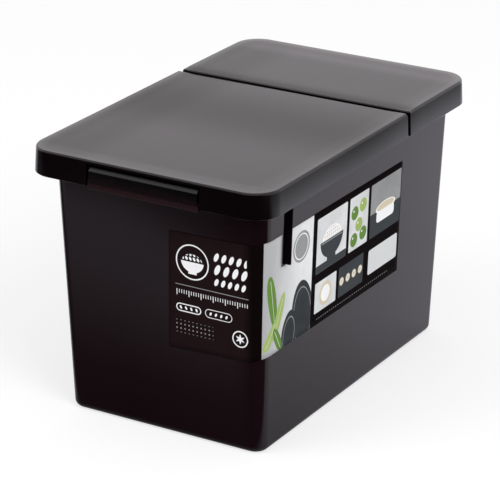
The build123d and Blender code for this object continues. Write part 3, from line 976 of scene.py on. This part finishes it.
    def print_front(self, ink, looks, x, z, mottle):
        """Front: a bowl of grain in a ring, rows of loose grains, a tick scale and plain marks,
        on a ground that painted shade darkens from near the corner on, round the side."""
        ground, white, mist = looks.ground_color, looks.white, scaled(looks.pale, 0.45)
        color = ink.mix(mottle, ground, scaled(ground, 1.3))
        # Painted shade: the ground darkens from near the corner on, round it and along the side.
        color = ink.mix(x.rise(70, 78), color, scaled(ground, 0.35))
        bowl_x = 29.0
        dish = flat_oval(x, z, (bowl_x, 141.5), (13.2, 13.2))
        bowl = flat_oval(x, z, (bowl_x, 142.0), (9.4, 8.6))
        heap = flat_oval(x, z, (bowl_x, 142.4), (8.2, 5.4))
        across, up = (x - bowl_x).wrapped(3.2), (z - 142.4).wrapped(3.4)
        color = ink.lay(
            color,
            (white, outlined(dish, 1.0)),
            (white, bowl, z - 141.6),
            (white, flat_box(x, z, (bowl_x, 133.0), (7.0, 1.6))),
            (white, flat_oval(across, up, (0, 0), (0.95, 1.5), 30), heap, 142.4 - z),
        )
        first = 46.0
        for height, size, pitch, last in (
            (149.5, (1.7, 3.6), 6.2, 74.0),
            (140.0, (2.0, 4.4), 7.4, 75.0),
            (130.2, (1.5, 3.0), 5.6, 74.0),
        ):
            cell = (x - first).math("FLOORED_MODULO", pitch)
            row = flat_oval(cell, z, (pitch / 2, height), size, -24)
            field = flat_box(x, z, ((first + last) / 2, height), (last - first, 12))
            color = ink.lay(color, (white, row, field))
        ticks = flat_box((x - 14.4).wrapped(2.02), z, (0, 117.0), (0.5, 3.0))
        longs = flat_box((x - 10.4).wrapped(10.1), z, (0, 116.2), (0.6, 4.8))
        pill, frame_pill, wheel = (25.0, 104.5), (50.0, 104.5), (67.6, 90.0)
        beads = flat_oval((x - 25.0).wrapped(4.4), z, (0, 104.5), (0.8, 1.4), 25)
        seeds = flat_oval((x - 50.0).wrapped(4.4), z, (0, 104.5), (0.8, 1.4), -25)
        dots = flat_oval((x - 13.0).wrapped(3.4), (z - 86.0).wrapped(3.4), (0, 0), (0.55, 0.55))
        spokes = [(white, flat_oval(x, z, wheel, (0.8, 3.6), turn)) for turn in (0, 60, 120)]
        return ink.lay(
            color,
            (mist, flat_box(x, z, (44.7, 122.4), (60.6, 0.5))),
            (white, ticks, flat_box(x, z, (44.7, 117.0), (60.6, 6.0))),
            (white, longs, flat_box(x, z, (44.7, 116.0), (60.6, 8.0))),
            (white, flat_box(x, z, pill, (21.0, 6.4), 3.2)),
            (ground, flat_box(x, z, pill, (19.4, 4.8), 2.4), beads * -1),
            (white, outlined(flat_box(x, z, frame_pill, (22.0, 6.4), 3.2), 0.5)),
            (white, seeds, flat_box(x, z, frame_pill, (17.6, 4.0))),
            (white, outlined(flat_oval(x, z, wheel, (6.0, 6.0)), 0.9)),
            *spokes,
            (mist, dots, flat_box(x, z, (29.2, 89.4), (32.0, 10.0))),
        )

    def print_corner(self, ink, looks, color, y, z, mottle):
        """Corner panel: two dark stones, a disc and four leaves with veins on a grey ground
        that pales towards the side, with painted shade that darkens it towards the corner."""
        pale, mist = looks.pale, scaled(looks.pale, 0.45)
        panel = flat_box(y, z, (-102.0, 121.4), (66.0, 120.0))
        shade = ink.mix(mottle, pale, scaled(pale, 1.25))
        # Painted shade: the panel's grey is darker towards the corner and pales towards the side.
        color = ink.lay(color, (ink.mix(y.rise(-146.875, -84.375), mist, shade), panel))
        slate = ink.mix(mottle, scaled(looks.slate, 0.6), looks.slate)
        for centre, size, turn in (
            ((-81.0, 92.0), (15.5, 29.0), 8),
            ((-100.0, 84.0), (11.0, 19.0), -6),
        ):
            stone = flat_oval(y, z, centre, size, turn)
            line = outlined(stone + 3.0, 0.5)
            color = ink.lay(color, (slate, stone, panel), (mist, line, panel))
        disc = (-86.0, 148.0)
        line = outlined(flat_oval(y, z, disc, (9.6, 9.6)), 0.9)
        color = ink.lay(
            color,
            (mist, flat_oval(y, z, disc, (12.0, 12.0)), panel),
            (looks.white, line, panel),
        )
        for centre, size, turn, tone in (
            ((-125.0, 118.0), (5.2, 22.0), 12, looks.leaf),
            ((-115.5, 104.0), (4.6, 18.0), -22, looks.sprout),
            ((-126.0, 92.0), (4.2, 13.0), -35, looks.sprout),
            ((-116.0, 86.0), (4.0, 12.0), 30, looks.leaf),
        ):
            blade = flat_oval(y, z, centre, size, turn)
            c, s = cos(radians(turn)), sin(radians(turn))
            vein = outlined((y - centre[0]) * c + (z - centre[1]) * s, 0.5)
            color = ink.lay(color, (tone, blade, panel), (pale, vein, blade + 1.0, panel))
        return color

    def print_side(self, ink, looks, color, y, z, mottle):
        """Side: five tiles with a bowl of grain, five balls, a dish, a ring and a row of discs
        on them, a bare pale box and a dotted line."""
        pale, mist, slate = looks.pale, scaled(looks.pale, 0.45), looks.slate
        white, grain = looks.white, looks.grain
        for centre, size, tone in (
            ((-40.5, 139.0), (45.0, 43.0), pale),
            ((0.5, 139.0), (29.0, 43.0), pale),
            ((43.0, 139.0), (48.0, 43.0), mist),
            ((-47.0, 98.0), (32.0, 24.0), pale),
            ((-8.0, 98.0), (38.0, 24.0), slate),
        ):
            ground = ink.mix(mottle, scaled(tone, 0.8), scaled(tone, 1.2))
            color = ink.lay(color, (ground, flat_box(y, z, centre, size, 1.0)))
        bowl = (-40.5, 140.0)
        across, up = (y + 40.5).wrapped(3.0), (z - 139.0).wrapped(2.6)
        loose = flat_oval(across, up, (0, 0), (0.7, 1.1), 35)
        color = ink.lay(
            color,
            (slate, flat_box(y, z, (-40.5, 120.5), (45.0, 6.0), 1.0)),
            (white, flat_oval(y, z, bowl, (14.0, 9.6)), 140.0 - z),
            (grain, loose, flat_oval(y, z, bowl, (13.0, 8.6)), 140.4 - z),
            (slate, flat_oval(y, z, bowl, (17.0, 15.0)), z - 140.0),
            (mist, flat_box(y, z, (-40.5, 138.6), (30.0, 0.8))),
            (slate, flat_box(y, z, (-40.5, 125.0), (13.0, 4.0), 1.0)),
        )
        for ball_y, ball_z, tone in (
            (-6.0, 147.0, looks.leaf),
            (6.5, 150.0, looks.sprout),
            (1.0, 136.0, looks.sprout),
            (-6.0, 125.5, looks.leaf),
            (8.0, 127.0, looks.leaf),
        ):
            color = ink.lay(
                color,
                (tone, flat_oval(y, z, (ball_y, ball_z), (5.4, 5.4))),
                (white, flat_oval(y, z, (ball_y - 1.8, ball_z + 1.8), (0.9, 0.9))),
            )
        discs = flat_oval((y + 27.0).wrapped(9.5), z, (0, 98.0), (3.3, 3.3))
        field = flat_box(y, z, (-8.0, 98.0), (38.0, 20.0))
        dots = flat_oval((y + 60.0).wrapped(3.2), z, (0, 80.8), (0.5, 0.5))
        return ink.lay(
            color,
            (slate, flat_box(y, z, (43.0, 127.0), (48.0, 19.0), 1.0)),
            (white, flat_oval(y, z, (43.0, 137.5), (15.5, 4.6))),
            (grain, flat_oval(y, z, (43.0, 138.0), (13.6, 3.4))),
            (white, flat_box(y, z, (43.0, 131.4), (28.0, 9.0), 3.0), z - 137.0),
            (grain, flat_oval(y, z, (-47.0, 98.0), (9.2, 9.2))),
            (white, flat_oval(y, z, (-47.0, 98.0), (6.6, 6.6))),
            (grain, discs, field),
            (white, outlined(discs + 1.3, 0.5), field),
            (pale, flat_box(y, z, (42.0, 98.0), (46.0, 20.0), 2.0)),
            (mist, dots, flat_box(y, z, (-4.0, 80.8), (112.0, 3.0))),
        )


class RICEBIN_OT_studio(Operator):
    """Floor, soft lamps, even surround and the camera"""

    bl_idname = "ricebin.studio"
    bl_label = "Studio"

    def execute(self, context):
        looks = context.scene.rice_studio
        self.lay_floor()
        self.light(context, looks)
        self.place_camera(context, looks)
        context.scene.view_settings.view_transform = "Standard"
        return {"FINISHED"}

    def lay_floor(self):
        """Wide pale floor. For the camera part of it glows, so that it reads white and keeps
        the bin's shadow. Reflections find it black in front of the latch side but for two pale
        bands, black beside the bin's front and paler towards its rear."""
        reach = 8000.0
        points = [(-reach, -reach, 0), (reach, -reach, 0), (reach, reach, 0), (-reach, reach, 0)]
        floor = write_mesh("floor", points, [[0, 1, 2, 3]])
        cover = Finish("floor_pale", Roughness=0.9, IOR=1.3, Specular_IOR_Level=0.0)
        seen = cover.node("ShaderNodeLightPath", output="Is Camera Ray")
        mirrored = cover.node("ShaderNodeLightPath", output="Is Glossy Ray")
        x, y, _ = cover.split(cover.position())
        # Place and level along the bands, from 16 cm in front of the middle to 76 cm.
        stops = ((0, 0.02), (0.07, 0.04), (0.30, 0.31), (0.42, 0.38), (0.485, 0.25), (0.53, 0.03))
        stops += ((0.58, 0.03), (0.66, 0.22), (0.72, 0.20), (0.82, 0.01), (1, 0))
        place = (-0.16 - y) / 0.6
        slant = x.rise(-0.25, 0.41667) + 1
        end = (place * 0.37 + x).rise(0.06625, 0.05375)
        bands = cover.ramp(place * slant, stops) * end
        away = (abs(x) - 0.1).most(0).least(0.3)
        beside = (y - away * 0.25).rise(-0.14, -0.12).least(y * 1.7 + 0.85)
        veil = mirrored * (1 - bands.most(beside))
        tone = cover.mix(seen, (0.775, 0.77, 0.835), (0.42, 0.42, 0.42))
        cover.feed("Base Color", cover.mix(veil, tone, (0.0, 0.0, 0.0)))
        black = cover.node("ShaderNodeEmission", Strength=0.0)
        glow = cover.node("ShaderNodeEmission", Strength=0.62)
        shine = cover.node("ShaderNodeMixShader", Fac=seen, _1=black, _2=glow)
        lit = Wire(cover.nodes, cover.links, cover.shader.outputs[0])
        both = cover.node("ShaderNodeAddShader", _0=lit, _1=shine)
        cover.links.new(both.socket, cover.nodes["Material Output"].inputs["Surface"])
        floor.data.materials.append(cover.material)

    def light(self, context, looks):
        """Even surround, white behind the bin for the camera and for reflections, and two wide
        soft lamps that reflections don't show. Reflections also find the dark ceiling over the
        bin and the dark room low in front of it."""
        world = bpy.data.worlds.new("surround")
        context.scene.world = world
        world.use_nodes = True
        around = Tree(world.node_tree)
        x, y, z = around.split(around.node("ShaderNodeTexCoord", output="Generated"))
        seen, mirrored, through = (
            around.node("ShaderNodeLightPath", output=kind)
            for kind in ("Is Camera Ray", "Is Glossy Ray", "Is Transmission Ray")
        )
        ceiling = (x * -6.6 + y * 4.9 + z * 11.2).rise(13.0, 14.0) * 0.8
        room = y.rise(-0.3, -0.5) * z.rise(0.4, 0.23333)
        mirror = mirrored * (1 - ceiling) * (1 - room)
        level = seen.most(through).most(mirror).most((1 - mirrored) * looks.sky)
        less_green, less_blue = 1 - mirrored * 0.05, 1 - mirrored * 0.01
        tint = around.node("ShaderNodeCombineXYZ", X=1.0, Y=less_green, Z=less_blue)
        back = around.nodes["Background"]
        around.links.new(level.socket, back.inputs["Strength"])
        around.links.new(tint.socket, back.inputs["Color"])
        for name, place, size, power in (
            ("lamp_right", (1.9, -0.9, 1.7), 1.6, 32.0),
            ("lamp_left", (-1.5, -1.8, 1.9), 1.8, 22.0),
        ):
            lamp = bpy.data.lights.new(name, "AREA")
            lamp.shape = "DISK"
            lamp.size = size
            lamp.energy = power * looks.lamp
            holder = bpy.data.objects.new(name, lamp)
            holder.visible_glossy = False
            context.scene.collection.objects.link(holder)
            holder.location = place
            sight = Vector((0, 0, 0.1)) - Vector(place)
            holder.rotation_euler = sight.to_track_quat("-Z", "Y").to_euler()

    def place_camera(self, context, looks):
        """Camera round and above the bin, turned a little about its own line of sight. It
        looks past the middle of the bin's height by a small shift across and up."""
        a, e, roll = looks.azimuth, looks.elevation, radians(0.239)
        back = Vector((sin(a) * cos(e), -cos(a) * cos(e), sin(e)))
        level = Vector((cos(a), sin(a), 0))
        upright = back.cross(level)
        right = cos(roll) * level + sin(roll) * upright
        up = cos(roll) * upright - sin(roll) * level
        middle, shift_right, shift_up = Vector((0, 0, 0.10525)), -0.0046996, -0.00721
        centre = middle + right * shift_right + up * shift_up + back * looks.distance
        data = bpy.data.cameras.new("camera")
        data.lens = looks.lens
        data.sensor_width = 36.0
        camera = bpy.data.objects.new("camera", data)
        context.scene.collection.objects.link(camera)
        turn = Matrix((right, up, back)).transposed().to_4x4()
        camera.matrix_world = Matrix.Translation(centre) @ turn
        context.scene.camera = camera


class RICEBIN_PT_pieces(Panel):
    """Lists what makes the bin"""

    bl_idname = "RICEBIN_PT_pieces"
    bl_label = "Rice Bin"
    bl_space_type = "VIEW_3D"
    bl_region_type = "UI"
    bl_category = "Rice Bin"

    def draw(self, context):
        for operator in PIECES:
            self.layout.operator(operator.bl_idname)
        for name in LOOKS:
            looks = getattr(context.scene, name)
            column = self.layout.column(align=True)
            for prop in looks.bl_rna.properties:
                if prop.identifier not in {"rna_type", "name"}:
                    column.prop(looks, prop.identifier)


LOOKS = {
    "rice_shell": ShellLooks,
    "rice_inner": InnerLooks,
    "rice_sleeve": SleeveLooks,
    "rice_studio": StudioLooks,
}
PIECES = (
    RICEBIN_OT_bin,
    RICEBIN_OT_lids,
    RICEBIN_OT_latch,
    RICEBIN_OT_seals,
    RICEBIN_OT_cup,
    RICEBIN_OT_sleeve,
    RICEBIN_OT_studio,
)


def register():
    for made in (*LOOKS.values(), *PIECES, RICEBIN_PT_pieces):
        bpy.utils.register_class(made)
    for name, looks in LOOKS.items():
        setattr(bpy.types.Scene, name, PointerProperty(type=looks))


def unregister():
    for name in LOOKS:
        delattr(bpy.types.Scene, name)
    for made in (RICEBIN_PT_pieces, *reversed(PIECES), *reversed(LOOKS.values())):
        bpy.utils.unregister_class(made)


def main():
    """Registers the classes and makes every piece."""
    register()
    bpy.ops.ricebin.bin()
    bpy.ops.ricebin.lids()
    bpy.ops.ricebin.latch()
    bpy.ops.ricebin.seals()
    bpy.ops.ricebin.cup()
    bpy.ops.ricebin.sleeve()
    bpy.ops.ricebin.studio()


if __name__ == "__main__":
    main()
